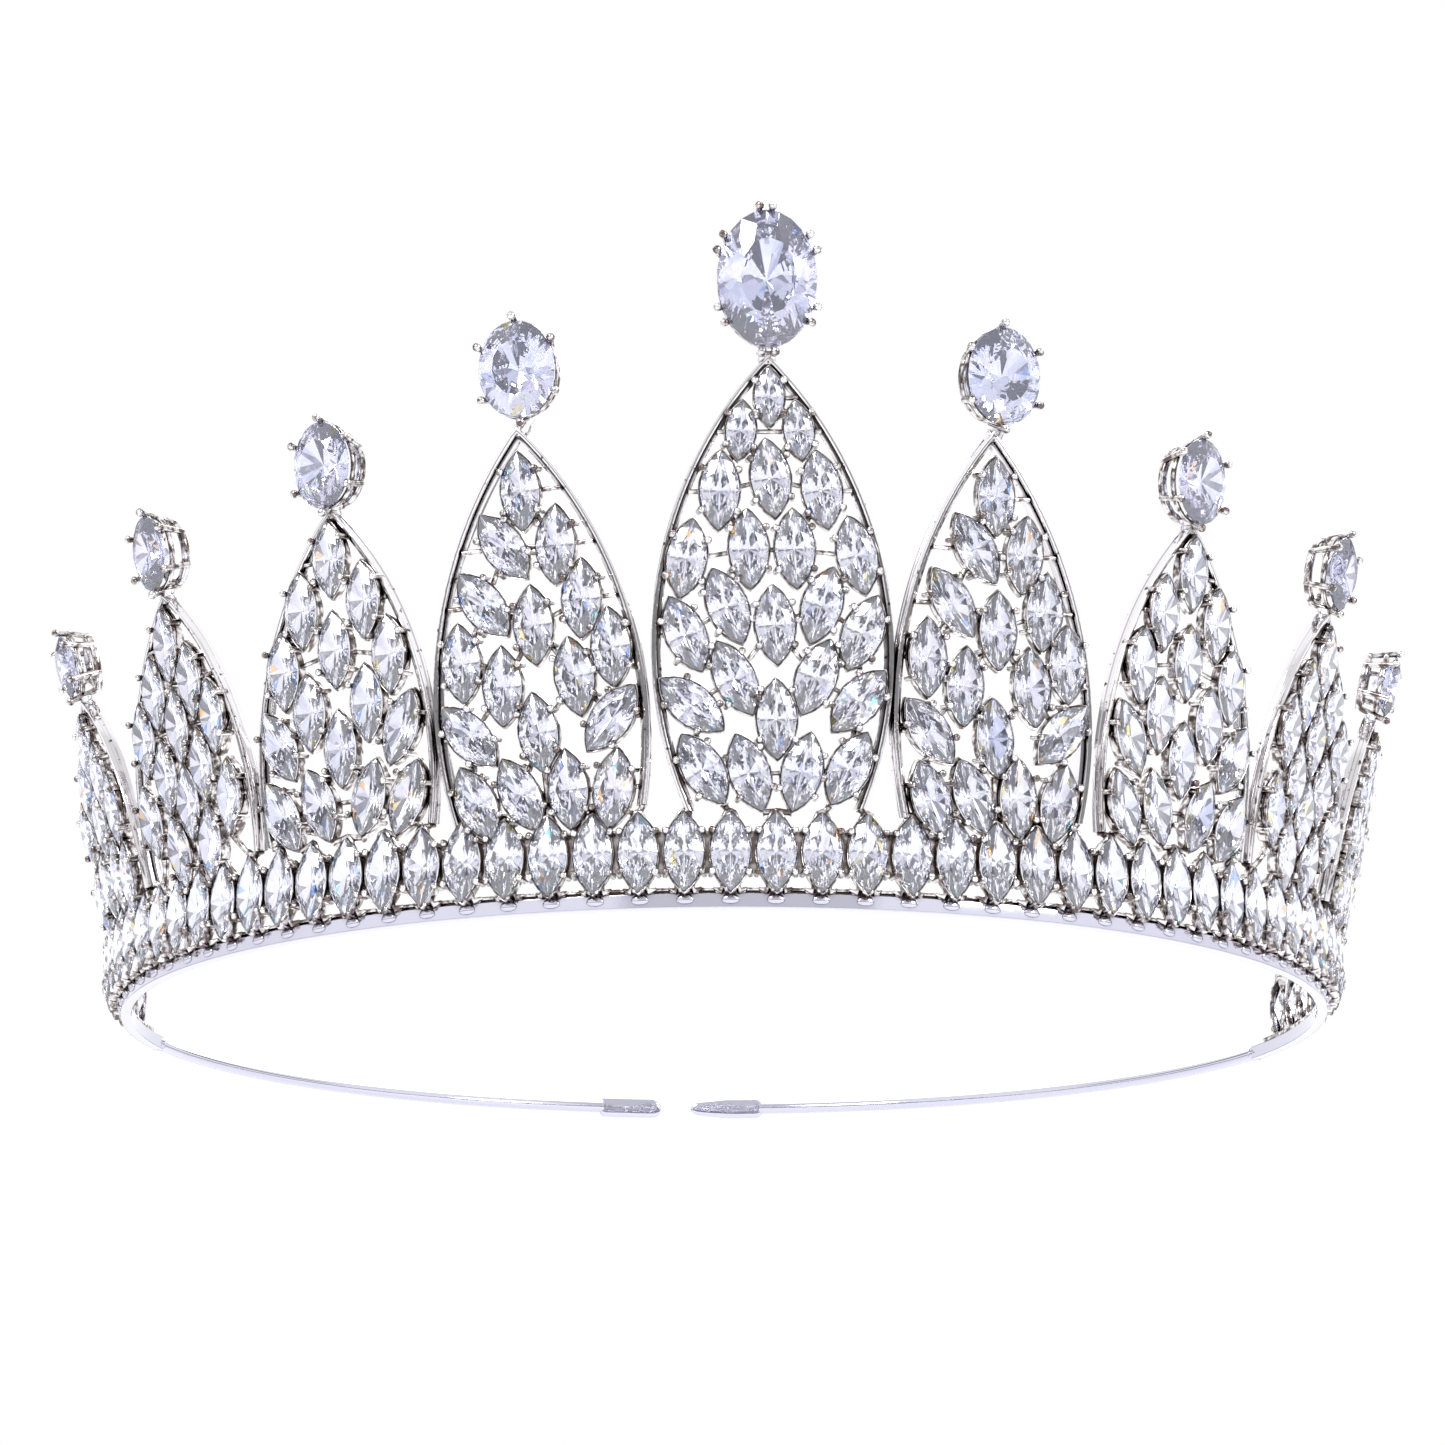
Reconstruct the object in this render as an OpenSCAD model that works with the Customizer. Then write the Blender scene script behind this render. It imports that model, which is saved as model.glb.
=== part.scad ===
// Bridal tiara: a spring headband carries a row of upright marquise stones, and nine
// pointed arches stand on that row, each filled with stones and topped by an oval one.
//
// The origin is the centre of the headband, on its flat underside. +Z is up, -Y is the
// front of the tiara and +X is to the right of somebody who looks at that front.

/* [Headband] */
// Outer radius of the flat strip that the crown stands on
ring_r = 68; // [66:0.5:72]
// Height of the flat strip
strip_h = 1.5; // [1.2:0.1:2]
// Thickness of the flat strip
strip_t = 1.2; // [1:0.1:1.4]
// Angle from the front to the end of the flat strip
strip_half_angle = 106; // [105:1:112]
// Diameter of the round wire that closes the back
wire_d = 1.3; // [1.1:0.1:1.4]
// How far the wire climbs on its way to the back
wire_rise = 0.5; // [0.3:0.1:1]

/* [Band tips] */
// Height of the flattened tips
tip_h = 2.4; // [2:0.1:3]
// Thickness of the flattened tips
tip_t = 0.9; // [0.7:0.1:1.2]
// Length of the left tip
left_tip_l = 8; // [6:0.1:12]
// Length of the right tip
right_tip_l = 9.3; // [6:0.1:12]
// Distance from the back centre to the left tip
left_tip_gap = 3.1; // [0.5:0.1:6]
// Distance from the back centre to the right tip
right_tip_gap = 0.8; // [0.5:0.1:6]

/* [Marquise stones] */
// Length of the usual stone
stone_l = 8; // [7.6:0.1:8]
// Width of the usual stone
stone_w = 4; // [3.8:0.1:4]
// Length of the three small stones at the top of the centre arch
small_l = 6; // [5.6:0.1:6]
// Width of those small stones
small_w = 3; // [2.8:0.1:3]
// Height of a stone above its widest outline, as a share of its width
crown_ratio = 0.16; // [0.12:0.01:0.2]
// Depth of a stone below its widest outline, as a share of its width
pavilion_ratio = 0.42; // [0.38:0.01:0.45]

/* [Settings] */
// How far the wall of a setting stands outside its stone
collet_out = 0.2; // [0.15:0.01:0.22]
// How far the wall of a setting reaches under its stone
collet_in = 0.2; // [0.18:0.01:0.3]
// Depth of a setting behind the widest outline of its stone
collet_back = 1.35; // [1.2:0.05:1.35]
// Radius of the post of a prong
prong_r = 0.3; // [0.25:0.01:0.32]
// Radius of the ball on a prong
ball_r = 0.38; // [0.34:0.01:0.4]
// Width of the bars that join the settings
link_w = 0.5; // [0.4:0.01:0.6]
// Greatest distance between the centres of two settings that a bar joins
link_reach = 7; // [6:0.1:7.5]

/* [Base row] */
// Stones from the front centre to each end of the row
stones_each_side = 27; // [27:1:27]
// Angle from the front centre to the last stone
row_half_angle = 102; // [101:0.5:103]
// Distance from the axis of the band to the widest outline of the stones
row_r = 69.4; // [69.4:0.1:70]
// Height of the centres of the stones
row_z = 5.4; // [5.3:0.1:5.6]

/* [Arches] */
// Base stones from the middle of one arch to the middle of the next
stones_per_arch = 5; // [5:1:5]
// Heights of the arches, from the centre one outwards
arch_heights = [46.5, 40.2, 34.8, 30.4, 24.3]; // [-0.3:0.1:0.3] around each
// Greatest half widths of the arches
arch_half_widths = [12.1, 11.1, 11.2, 11.2, 11]; // [-0.2:0.1:0.2] around each
// Heights at which the arches are widest
arch_wide_at = [17, 11, 8, 6.5, 4.5]; // [-0.5:0.1:0.5] around each
// Outward lean of the arches, in degrees
arch_leans = [8, 8, 7.2, 11.5, 14]; // [-1:0.1:1] around each
// Sideways lean of the left arches, positive to the right, from the centre one outwards
left_sways = [-1.3, -2.9, 0, 0, 0]; // [-1:0.1:1] around each
// Sideways lean of the right arches, positive to the right, from the centre one outwards
right_sways = [-1.3, -2.9, 0, 0, 0]; // [-1:0.1:1] around each
// Width of the rim of an arch, and of the ledge inside it
rim_w = 0.5; // [0.4:0.05:0.6]
// Depth of the rim of an arch
rim_depth = 1.5; // [1.2:0.1:1.6]
// How far the ledge is set back from the front of the rim
ledge_set_back = 0.6; // [0.4:0.1:0.8]

/* [Top stones] */
// Widths of the oval stones, from the centre arch outwards
oval_widths = [10, 8, 7, 6, 5]; // [-0.3:0.1:0.3] around each
// Heights of the oval stones
oval_heights = [14, 10, 9, 8, 7]; // [-0.3:0.1:0.3] around each
// Distances from the point of an arch to the middle of its oval stone
oval_rises = [7.6, 5.7, 4.4, 4.4, 4.2]; // [-0.2:0.1:0.2] around each
// Distances from the point of an arch sideways to the middle of its oval stone
oval_shifts = [0, 0.8, 0, 0, 0]; // [-0.3:0.1:0.3] around each
// Distance from the ring at the back of a basket to the widest outline of its stone
basket_depth = 3; // [2.6:0.1:3.4]
// Distance from the middle of the rim of an arch to the widest outline of the oval stone
basket_front = 1.5; // [1.3:0.1:1.7]
// Thickness of that ring
basket_ring_t = 0.8; // [0.6:0.1:1]

/* [Hidden] */
$fn = 32;
PIECES = ["frame", "settings", "stones", "basket", "oval_stone"];
ARCH_NAMES = concat(["centre"], [for (k = [1:4]) each [str("left", k), str("right", k)]]);

metal = "silver";
bright_metal = "gainsboro";
gem = "lavender";

row_pitch = row_half_angle / stones_each_side;
arch_pitch = row_pitch * stones_per_arch;
ring_mid_r = ring_r - strip_t / 2;
touch = 0.03; // clearance between pieces that meet face to face

arch_foot_z = 8.8; // height of the lower ends of the arches above the underside of the band
arch_plane_r = 68.5; // distance from the axis to the plane of an arch, at its foot
leg_cut = 0.95; // the legs stop this far up, on the upper points of the base stones
stone_front = 0.9; // the stones' widest outline is this far in front of the arch's plane
rim_front = 0.3; // front of the rim, in front of the arch's plane
ledge_ratio = 2; // rim and ledge together, in rim widths

girdle_t = 0.1; // thickness of a stone at its widest outline
table_inset = 0.225; // width lost by a stone between its outline and its table, as a share
collet_front = 0.19; // front edge of a setting, behind the widest outline of its stone
seat_drop = 0.15; // where the prongs are cut to the outline of the stone
prong_gap = 0.14; // clearance between a prong and its stone
prong_foot = 1.2; // start of a prong, behind the widest outline
prong_top = 0.35; // middle of the ball of a prong, in front of the widest outline
prong_overlap = 0.1; // a prong further inside another stone's outline is left out
link_back = 0.85; // the bars' distance behind the widest outline
link_inset = 1.2; // the bars start this far from the centre of a setting

slot_w = 1.5; // slots between the base rail and the strip
slot_h = 0.2;
rail_h = 0.6;
pad_r = 1; // half round pads in front of the strip
pad_sink = 0.1; // how far their middle is inside it
pad_z = 0.4;
pad_h = 0.6;

oval_crown = 0.16; // height, depth and table of an oval stone, as shares of its width
oval_pavilion = 0.42;
oval_table = 0.6;
basket_wall = 0.8; // width of the ring at the back of a basket
basket_shrink = 0.85; // size of that ring, as a share of its stone
basket_prong_gap = 0.5; // from the outline of an oval stone to the middle of a prong
basket_prong_r = 0.35;
basket_ball_r = 0.45;
twin_spread = 7; // half the angle between the twin prongs of the centre basket
neck_r = 0.75;
bead_r = 0.85; // solder bead between the strip and the wire

// Middles of the stones of an arch as [across, up, tilt]: across from its centre line, up
// from its foot, and tilted clockwise as seen from the front. Each filling is set by hand.
centre_small_stones = [[0, 42.2, 0], [-2.9, 38.8, 6], [2.9, 38.8, -6]];
centre_stones = [
  [-5.1, 32.8, 3], [0, 34, -6], [5.1, 32.8, -8],
  [-8.5, 26, 10], [-2.3, 26.9, -2], [2.3, 26.9, -2], [8.5, 26.2, -12],
  [-8.7, 18.4, -23], [-4.5, 21.2, -21], [0.2, 19.3, -3], [4.9, 21.2, 18], [8.9, 18.4, 23],
  [-3.9, 14, -25], [4.2, 14, 22], [-8.2, 11.4, -50], [8.4, 11.6, 42], [0.2, 9.9, 0],
  [-7.2, 5, -31], [-2.6, 4.6, -18], [2.6, 4.6, 15], [7.3, 4.9, 28]
];
first_stones = [
  [0, 33.6, 0], [-2.2, 28.2, -32], [3.2, 27.8, 5],
  [-4.8, 22.6, -33], [0.2, 20, 0], [5.4, 22.1, 5], [-7.6, 17, 0], [8, 16.9, 0],
  [-3.5, 14.2, 3], [4, 14.4, -5], [-7.4, 9.6, -38], [-0.2, 9.2, -4], [7.4, 9.8, 42],
  [-7.2, 2.8, -20], [-2.6, 3.2, -22], [2.4, 3.2, 0], [7, 2.8, 12]
];
second_half = [[4, 24.6, 0], [6.8, 18.6, 0], [3.7, 14, 0], [7.8, 11, 25], [3.2, 4.4, 18], [8, 3.8, 25]];
third_half = [[3.6, 20.4, 0], [6.9, 15.9, 0], [3.6, 11.4, 0], [7.8, 7.2, 10], [3.1, 3.2, 10]];
fourth_half = [[3.5, 14.8, 0], [6.9, 10.6, 6], [2.8, 4, 10], [7, 2.8, 10]];
second_middle = [29.4, 20, 9.8];
third_middle = [24.8, 16.2, 8];
fourth_middle = [18.8, 10.4];

// Lists of stones as [across, up, tilt, length, width].
function sized(stones, l, w) = [for (s = stones) [s[0], s[1], s[2], l, w]];
function both_sides(half) = [for (s = half) each [s, [-s[0], s[1], -s[2]]]];
function on_middle(heights) = [for (z = heights) [0, z, 0]];
function even_filling(middle, half) = sized(concat(on_middle(middle), both_sides(half)), stone_l, stone_w);
centre_filling = concat(sized(centre_small_stones, small_l, small_w), sized(centre_stones, stone_l, stone_w));
FILLINGS = [
  centre_filling,
  sized(first_stones, stone_l, stone_w),
  even_filling(second_middle, second_half),
  even_filling(third_middle, third_half),
  even_filling(fourth_middle, fourth_half)
];

// A marquise outline is where two equal circles overlap. These give their radius and
// how far their centres are from the middle.
function lens_r(l, w) = (l * l + w * w) / (4 * w);
function lens_c(l, w) = lens_r(l, w) - w / 2;

// The same for an arch, whose lens is cut off below.
function arch_top(k) = arch_heights[k] - arch_wide_at[k];
function arch_r(k) = lens_r(2 * arch_top(k), 2 * arch_half_widths[k]);
function arch_c(k) = arch_r(k) - arch_half_widths[k];
function arch_half_width_at(k, z) = sqrt(pow(arch_r(k), 2) - pow(z - arch_wide_at[k], 2)) - arch_c(k);

// How far a prong of a basket spreads for each millimetre that it comes forward, and the
// height at which a neck meets the lowest prong.
function prong_slope(k) =
  (oval_heights[k] / 2 * (1 - basket_shrink) + basket_prong_gap) / (basket_depth + prong_top);
function neck_top(k) =
  arch_heights[k] + oval_rises[k] - basket_shrink * oval_heights[k] / 2 - touch
  - prong_slope(k) * (basket_depth - basket_front + neck_r)
  - basket_prong_r * sqrt(1 + pow(prong_slope(k), 2));

// Points of an ellipse.
function oval(a, b, n) = [for (i = [0:n - 1]) [a * cos(360 * i / n), b * sin(360 * i / n)]];

module lens(r, c, grow = 0) {
  intersection() {
    translate([-c, 0]) circle(r + grow);
    translate([c, 0]) circle(r + grow);
  }
}

// A straight round rod between two points.
module rod(from, to, r) {
  way = to - from;
  translate(from)
    rotate([0, acos(way[2] / norm(way)), atan2(way[1], way[0])])
      cylinder(h = norm(way), r = r);
}

// A flat bar between two points of one height.
module bar(from, to) {
  way = to - from;
  translate(from)
    rotate([0, 0, atan2(way[1], way[0])])
      translate([0, -link_w / 2, -link_w / 2]) cube([norm(way), link_w, link_w]);
}

// Turns a piece made lying on its back, with its face up and its top towards +Y, so that
// it stands up and faces the front.
module stood() {
  rotate([90, 0, 0]) children();
}

// Half of a marquise stone: a turned profile, cut along the stone's long axis.
module half_marquise(l, w) {
  r = lens_r(l, w);
  c = lens_c(l, w);
  keel = 0.05;
  intersection() {
    translate([-c, 0, 0])
      rotate_extrude()
        polygon([
          [0, -pavilion_ratio * w], [c + keel, -pavilion_ratio * w], [r, -girdle_t / 2],
          [r, girdle_t / 2], [r - table_inset * w, crown_ratio * w], [0, crown_ratio * w]
        ]);
    translate([0, -l, -w]) cube([w, 2 * l, 2 * w]);
  }
}

module marquise(l, w) {
  half_marquise(l, w);
  mirror([1, 0, 0]) half_marquise(l, w);
}

// The places of the four prongs of a setting.
function prong_places(l, w) =
  let (r = lens_r(l, w), reach = r + prong_r + prong_gap)
  [
    for (side = [-1, 1], end = [-1, 1])
      let (lift = end * asin(l / 4 / r)) [side * (reach * cos(lift) - lens_c(l, w)), reach * sin(lift)]
  ];

// A point of a stone's own plane in its arch, and a point of the arch in a stone's plane.
function in_arch(s, p) =
  [s[0] + p[0] * cos(s[2]) + p[1] * sin(s[2]), s[1] - p[0] * sin(s[2]) + p[1] * cos(s[2])];
function in_stone(s, p) =
  let (x = p[0] - s[0], y = p[1] - s[1]) [x * cos(s[2]) - y * sin(s[2]), x * sin(s[2]) + y * cos(s[2])];

// Whether a point of an arch lies well inside the outline of one of its stones.
function is_over(p, stones) = len([
  for (s = stones)
    let (q = in_stone(s, p))
    if (norm([abs(q[0]) + lens_c(s[3], s[4]), q[1]]) < lens_r(s[3], s[4]) - prong_overlap) s
]) > 0;

// The wall of a setting, before it is bored out.
module collet_blank(l, w) {
  translate([0, 0, -collet_back])
    linear_extrude(collet_back - collet_front) lens(lens_r(l, w), lens_c(l, w), collet_out);
}

module prong(place) {
  translate([place[0], place[1], -prong_foot]) cylinder(h = prong_foot + prong_top, r = prong_r);
  translate([place[0], place[1], prong_top]) sphere(ball_r);
}

// The prongs of a setting in an arch, but for those whose place a neighbouring stone takes.
module prongs(s, stones) {
  for (p = prong_places(s[3], s[4])) if (!is_over(in_arch(s, p), stones)) prong(p);
}

// What is bored out of a setting: the opening behind its stone, and the stone's own place.
module collet_bore(l, w) {
  deep = 3;
  translate([0, 0, -deep]) linear_extrude(2 * deep) lens(lens_r(l, w), lens_c(l, w), -collet_in);
  translate([0, 0, -seat_drop]) linear_extrude(deep) lens(lens_r(l, w), lens_c(l, w), touch);
}

// Puts children at a stone's place in its arch.
module at_stone(s) {
  translate([s[0], s[1], stone_front]) rotate([0, 0, -s[2]]) children();
}

// Bars between the settings of an arch that lie near each other.
module links(stones) {
  for (i = [0:len(stones) - 2], j = [i + 1:len(stones) - 1]) {
    from = [stones[i][0], stones[i][1], stone_front - link_back];
    to = [stones[j][0], stones[j][1], stone_front - link_back];
    way = (to - from) / norm(to - from);
    if (norm(to - from) < link_reach) bar(from + link_inset * way, to - link_inset * way);
  }
}

// Bars from the outer settings of an arch to its rim.
module rim_links(k, stones) {
  near = 5.2;
  for (s = stones) {
    edge = arch_half_width_at(k, s[1]) - ledge_ratio * rim_w;
    from = [abs(s[0]) + link_inset, s[1], stone_front - link_back];
    if (edge - abs(s[0]) < near && edge > from[0] + link_w)
      mirror([s[0] < 0 ? 1 : 0, 0, 0]) bar(from, [edge + rim_w, s[1], from[2]]);
  }
}

// A band along the inside of an arch's outline, between two insets from it.
module rim_band(k, outer_inset, inner_inset, front) {
  tall = 60;
  translate([0, 0, rim_front - rim_depth])
    linear_extrude(front - rim_front + rim_depth)
      intersection() {
        translate([0, arch_wide_at[k]]) difference() {
          lens(arch_r(k), arch_c(k), -outer_inset);
          lens(arch_r(k), arch_c(k), -inner_inset);
        }
        translate([-tall / 2, leg_cut]) square(tall);
      }
}

// Puts children in the plane of an arch: k is its rank from the centre, side is -1 on the
// left, 1 on the right and 0 for the centre arch.
module at_arch(k, side) {
  sway = side > 0 ? right_sways[k] : left_sways[k];
  rotate([0, 0, side * k * arch_pitch])
    translate([0, -arch_plane_r, arch_foot_z])
      rotate([arch_leans[k], 0, 0])
        stood() rotate([0, 0, -sway]) children();
}

module arch_frame(k, side) {
  neck_start = arch_heights[k] - 2 * rim_w;
  color(metal) at_arch(k, side) {
    rim_band(k, 0, rim_w, rim_front);
    rim_band(k, rim_w, ledge_ratio * rim_w, rim_front - ledge_set_back);
    translate([oval_shifts[k], neck_start, rim_front - rim_depth / 2])
      rotate([-90, 0, 0]) cylinder(h = neck_top(k) - neck_start, r = neck_r);
  }
}

module arch_settings(k, side) {
  stones = FILLINGS[k];
  color(bright_metal) at_arch(k, side) difference() {
    union() {
      for (s = stones) at_stone(s) {
        collet_blank(s[3], s[4]);
        prongs(s, stones);
      }
      links(stones);
      rim_links(k, stones);
    }
    for (s = stones) at_stone(s) collet_bore(s[3], s[4]);
    rim_band(k, -rim_w, ledge_ratio * rim_w + touch, rim_front + touch);
  }
}

module arch_stones(k, side) {
  color(gem) at_arch(k, side)
    for (s = FILLINGS[k]) at_stone(s) marquise(s[3], s[4]);
}

// Puts children at the middle of an arch's oval stone, on its widest outline.
module at_oval(k, side) {
  at_arch(k, side)
    translate([oval_shifts[k], arch_heights[k] + oval_rises[k], rim_front - rim_depth / 2 + basket_front])
      children();
}

module basket_prong(a, b, turn) {
  out = [cos(turn), sin(turn)];
  size = [for (d = [0, 1]) [out[0] * a, out[1] * b]];
  foot = [size[0][0] * basket_shrink, size[0][1] * basket_shrink, -basket_depth];
  tip = [size[0][0] + out[0] * basket_prong_gap, size[0][1] + out[1] * basket_prong_gap, prong_top];
  rod(foot, tip, basket_prong_r);
  translate(tip) sphere(basket_ball_r);
}

module arch_basket(k, side) {
  a = oval_widths[k] / 2;
  b = oval_heights[k] / 2;
  turns = [for (i = [0:5]) 30 + 60 * i];
  color(metal) at_oval(k, side) {
    translate([0, 0, -basket_depth - basket_ring_t / 2])
      linear_extrude(basket_ring_t) difference() {
        polygon(oval(a * basket_shrink, b * basket_shrink, 48));
        polygon(oval(a * basket_shrink - basket_wall, b * basket_shrink - basket_wall, 48));
      }
    for (t = turns)
      if (k == 0) for (spread = [-twin_spread, twin_spread]) basket_prong(a, b, t + spread);
      else basket_prong(a, b, t);
  }
}

module arch_oval_stone(k, side) {
  a = oval_widths[k] / 2;
  b = oval_heights[k] / 2;
  thin = 0.02;
  color(gem) at_oval(k, side) hull() {
    translate([0, 0, -oval_pavilion * 2 * a]) cylinder(h = thin, r = 0.1, $fn = 8);
    translate([0, 0, -girdle_t]) linear_extrude(2 * girdle_t) polygon(oval(a, b, 24));
    translate([0, 0, oval_crown * 2 * a - thin])
      linear_extrude(thin) polygon(oval(a * oval_table, b * oval_table, 8));
  }
}

// Turns children round the axis to an angle from the front.
module on_row(turn) {
  rotate([0, 0, turn]) translate([0, -row_r, row_z]) stood() children();
}

module base_settings() {
  color(bright_metal) difference() {
    union() {
      for (i = [-stones_each_side:stones_each_side]) on_row(i * row_pitch) {
        collet_blank(stone_l, stone_w);
        for (p = prong_places(stone_l, stone_w)) prong(p);
        if (i < stones_each_side) row_links();
      }
    }
    for (i = [-stones_each_side:stones_each_side])
      on_row(i * row_pitch) collet_bore(stone_l, stone_w);
  }
}

// Two short bars from a setting of the row to its neighbour on the right.
module row_links() {
  gap = 2 * row_r * sin(row_pitch / 2);
  near = 1.55;
  for (z = [-stone_l / 4, stone_l / 4])
    bar([near, z, -link_back], [gap - near, z, -link_back]);
}

module base_stones() {
  color(gem)
    for (i = [-stones_each_side:stones_each_side]) on_row(i * row_pitch) marquise(stone_l, stone_w);
}

// Part of a turned ring, from one angle to another, counted from the front.
module turned(start, end) {
  rotate([0, 0, start - 90]) rotate_extrude(angle = end - start, $fn = 180) children();
}

// The rail on top of the strip, slotted between the stones.
module base_rail() {
  half = (stones_each_side + 0.4) * row_pitch;
  color(metal) difference() {
    translate([0, 0, strip_h]) turned(-half, half)
      translate([ring_r - strip_t + 0.2, 0]) square([strip_t - 0.2, rail_h]);
    for (i = [-stones_each_side:stones_each_side - 1])
      rotate([0, 0, (i + 0.5) * row_pitch])
        translate([-slot_w / 2, -ring_r - 1, strip_h - 1]) cube([slot_w, 4, slot_h + 1]);
  }
}

// A half round pad on the front of the strip, under a stone.
module pad() {
  translate([0, -ring_r + pad_sink, pad_z]) intersection() {
    cylinder(h = pad_h, r = pad_r + pad_sink);
    translate([-2 * pad_r, -4 * pad_r, -pad_h]) cube([4 * pad_r, 4 * pad_r, 3 * pad_h]);
  }
}

wire_pivot_y = -ring_mid_r * cos(strip_half_angle);
wire_tilt = atan(wire_rise / (ring_mid_r - wire_pivot_y));

// Angle at the back that a length along the band takes.
function back_turn(l) = l / ring_mid_r * 180 / PI;

// Tilts children about a line across the ends of the strip, so that the wire climbs.
module climbing() {
  translate([0, wire_pivot_y, strip_h / 2])
    rotate([wire_tilt, 0, 0]) translate([0, -wire_pivot_y, 0]) children();
}

module headband() {
  left_end = -180 + back_turn(left_tip_gap + left_tip_l);
  right_end = 180 - back_turn(right_tip_gap + right_tip_l);
  color(metal) {
    turned(-strip_half_angle, strip_half_angle)
      translate([ring_r - strip_t, 0]) square([strip_t, strip_h]);
    climbing() {
      turned(strip_half_angle, right_end) translate([ring_mid_r, 0]) circle(d = wire_d);
      turned(left_end, -strip_half_angle) translate([ring_mid_r, 0]) circle(d = wire_d);
    }
    for (side = [-1, 1]) rotate([0, 0, side * strip_half_angle])
      translate([0, -ring_mid_r, strip_h / 2]) sphere(bead_r);
    for (i = [-stones_each_side:stones_each_side]) rotate([0, 0, i * row_pitch]) pad();
  }
}

// The right flattened tip, which stands on the same plane as the strip.
module band_tip(gap, l) {
  color(metal) intersection() {
    turned(180 - back_turn(gap + l - touch), 180 - back_turn(gap))
      translate([ring_mid_r - tip_t / 2, 0]) square([tip_t, tip_h]);
    translate([0, 2 * ring_r, 0]) rotate([90, 0, 0]) linear_extrude(2 * ring_r) {
      translate([gap + tip_h / 2, tip_h / 2]) circle(tip_h / 2);
      translate([gap + tip_h / 2, 0]) square([l, tip_h]);
    }
  }
}

module left_tip() {
  mirror([1, 0, 0]) band_tip(left_tip_gap, left_tip_l);
}

module right_tip() {
  band_tip(right_tip_gap, right_tip_l);
}

// One arch, whose nodes are named after it.
module arch_nodes(name, k, side) {
  arch_frame(k, side);
  arch_settings(k, side);
  arch_stones(k, side);
  arch_basket(k, side);
  arch_oval_stone(k, side);
}

headband();
left_tip();
right_tip();
base_rail();
base_settings();
base_stones();
arch_nodes("centre", 0, 0);
for (k = [1:4]) {
  arch_nodes(str("left", k), k, -1);
  arch_nodes(str("right", k), k, 1);
}
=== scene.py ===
"""Bridal tiara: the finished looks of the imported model.

Each CAD node gives the place, direction and size of the piece that stands for it here. The
pieces are fine meshes: brilliant cut stones, boat shaped settings with ball prongs, grooved
rims, pronged baskets and a polished band. Lengths are in metres and the front is -Y.
"""
import math
import random

import bpy
import numpy as np
from mathutils import Matrix, Vector


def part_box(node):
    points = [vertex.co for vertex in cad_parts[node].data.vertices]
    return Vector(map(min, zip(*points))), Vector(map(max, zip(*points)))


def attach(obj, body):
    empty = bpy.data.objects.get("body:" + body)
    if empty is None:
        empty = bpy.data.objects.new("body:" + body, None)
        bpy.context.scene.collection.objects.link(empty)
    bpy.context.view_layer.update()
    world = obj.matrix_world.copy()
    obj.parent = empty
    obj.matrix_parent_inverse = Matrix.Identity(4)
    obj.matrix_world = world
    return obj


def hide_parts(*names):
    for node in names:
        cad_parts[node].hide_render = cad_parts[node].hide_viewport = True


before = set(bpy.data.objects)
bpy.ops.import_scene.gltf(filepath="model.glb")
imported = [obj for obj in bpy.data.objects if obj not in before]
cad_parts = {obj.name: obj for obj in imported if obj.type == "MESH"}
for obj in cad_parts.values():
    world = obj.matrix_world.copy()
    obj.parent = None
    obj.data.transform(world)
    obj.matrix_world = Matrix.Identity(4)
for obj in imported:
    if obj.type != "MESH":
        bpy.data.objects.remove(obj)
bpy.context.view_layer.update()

MM = 0.001
ARCHES = ["centre"] + [side + str(k) for k in range(1, 5) for side in ("left", "right")]
ACROSS, UP, FRONT = 0, 1, 2
WELD = 2e-6  # points of a CAD mesh that are nearer than this are one point
LEVEL = 1e-5  # heights that are nearer than this are the same height
SEARCH = 1e-6  # lengths are searched down to this

# Stones
CROWN, PAVILION = 0.16, 0.42  # heights above and below the outline, as shares of the width
GIRDLE = 0.03  # thickness of the outline's edge, as a share of the width
TABLE = 0.56  # size of the top facet, as a share of the stone
CROWN_BREAK, PAVILION_BREAK = 0.80, 0.30  # where the facets of crown and pavilion meet
ROW_SIDES, OVAL_SIDES = 8, 12  # sides of the table of a marquise and of an oval stone
PAINTED_FIRE_FROM = 0.955  # facet shades from here up are painted fire, coloured glints, on small facets only

# Tints of the facets, each from a facet shade up. The first list is painted fire: glints of
# coloured light.
PAINTED_FIRE_TINTS = [
    (PAINTED_FIRE_FROM, (1.0, 0.42, 0.10)), (0.968, (0.12, 0.30, 1.0)),
    (0.980, (1.0, 0.80, 0.20)), (0.990, (0.15, 0.85, 1.0)),
]
# The stones' own lilac cast, with painted sparkle in its lighter and darker facets and a painted
# dark reflection in the last, darkest tint.
ROW_TINT_AND_PAINTED_SPARKLE = [
    (0.00, (0.91, 0.92, 1.0)), (0.35, (0.83, 0.85, 1.0)),
    (0.70, (0.89, 0.86, 1.0)), (0.94, (0.50, 0.54, 0.80)),
]
OVAL_TINT_AND_PAINTED_SPARKLE = [
    (0.00, (0.79, 0.82, 1.0)), (0.35, (0.71, 0.74, 1.0)),
    (0.70, (0.79, 0.75, 1.0)), (0.94, (0.42, 0.46, 0.74)),
]

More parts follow.
